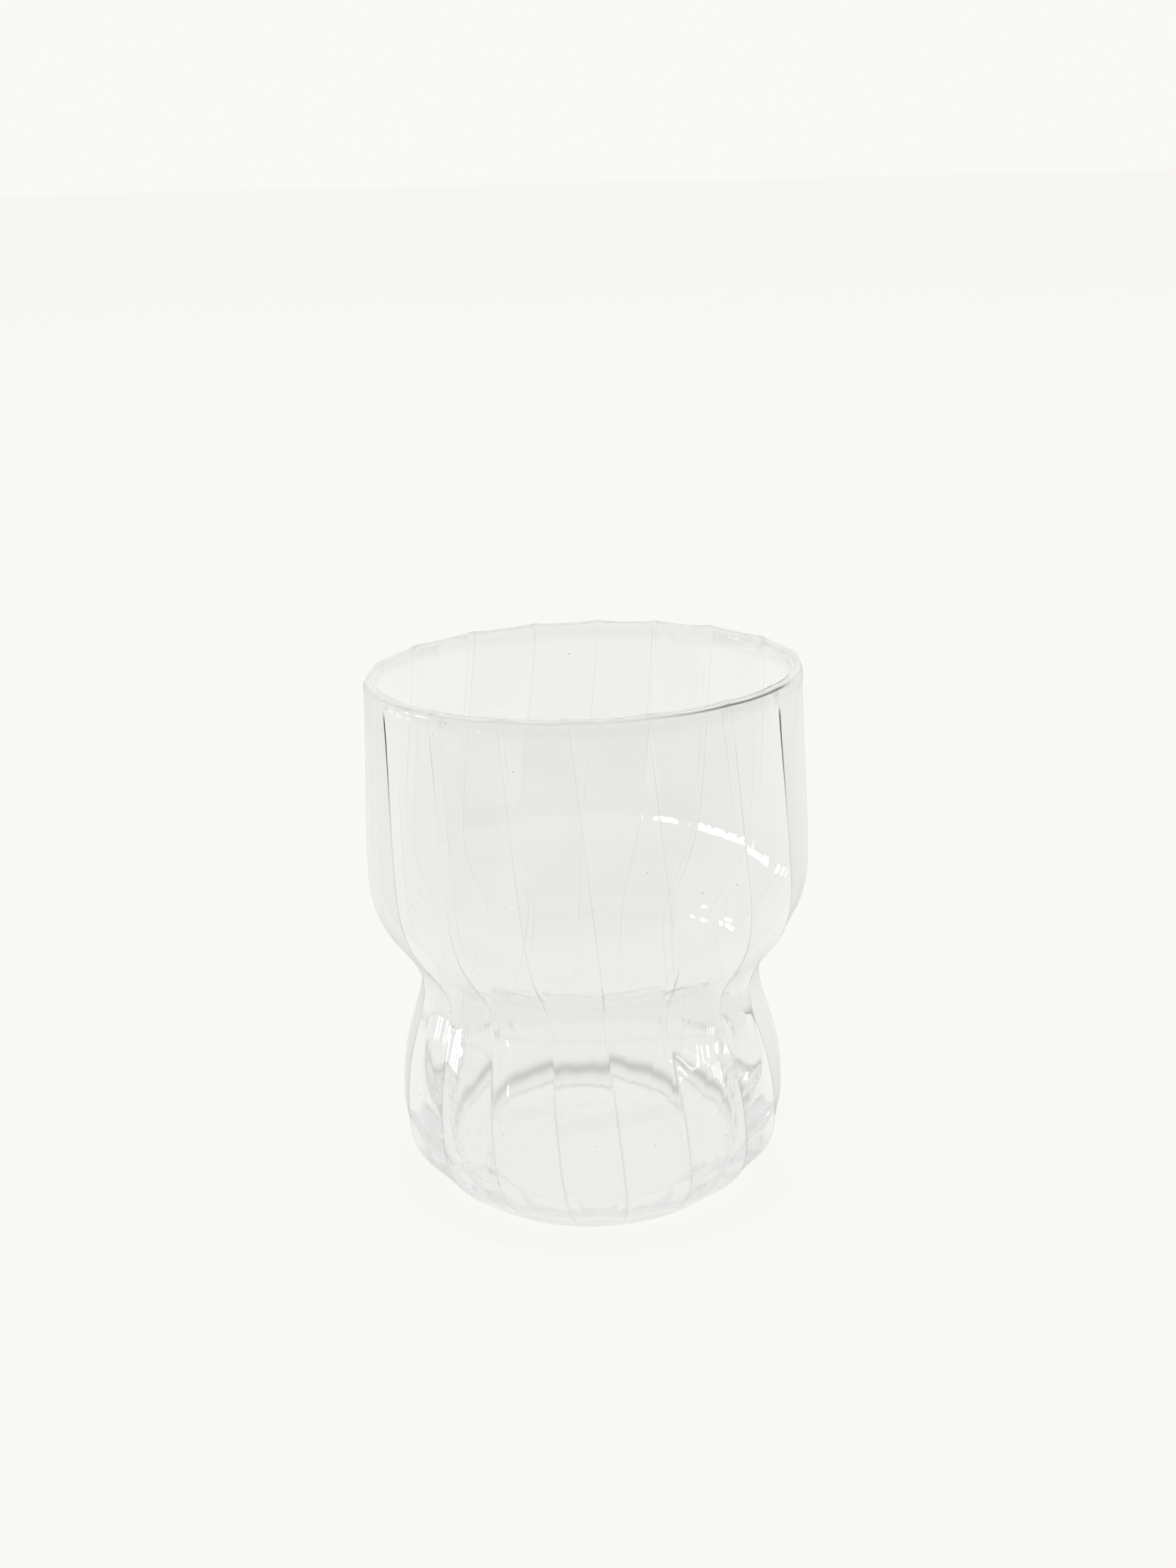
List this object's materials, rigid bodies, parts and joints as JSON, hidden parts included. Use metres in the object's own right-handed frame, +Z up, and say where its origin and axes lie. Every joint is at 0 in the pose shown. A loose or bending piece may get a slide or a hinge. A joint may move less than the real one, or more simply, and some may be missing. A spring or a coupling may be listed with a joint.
{
  "type": "juice glass",
  "caption": "Clear blown juice glass with a wide bowl, a drawn-in waist and a round bulb, fluted by leaning ridges from lip to base.",
  "frame": {"origin": "middle of the base's flat contact ring, on the surface that the glass stands on", "axes": "+Z up along the axis of the glass, through the mouth; -Y towards the viewer of the picture, +X to the viewer's right"},
  "size_m": [0.0794, 0.0798, 0.098],
  "materials": {
    "glass": "clear and fire-polished, with a faint grey-green tint where it is thick"
  },
  "bodies": {
    "root": {"base": "glass", "bulb": "glass", "waist": "glass", "bowl": "glass", "rim": "glass"}
  },
  "joints": []
}
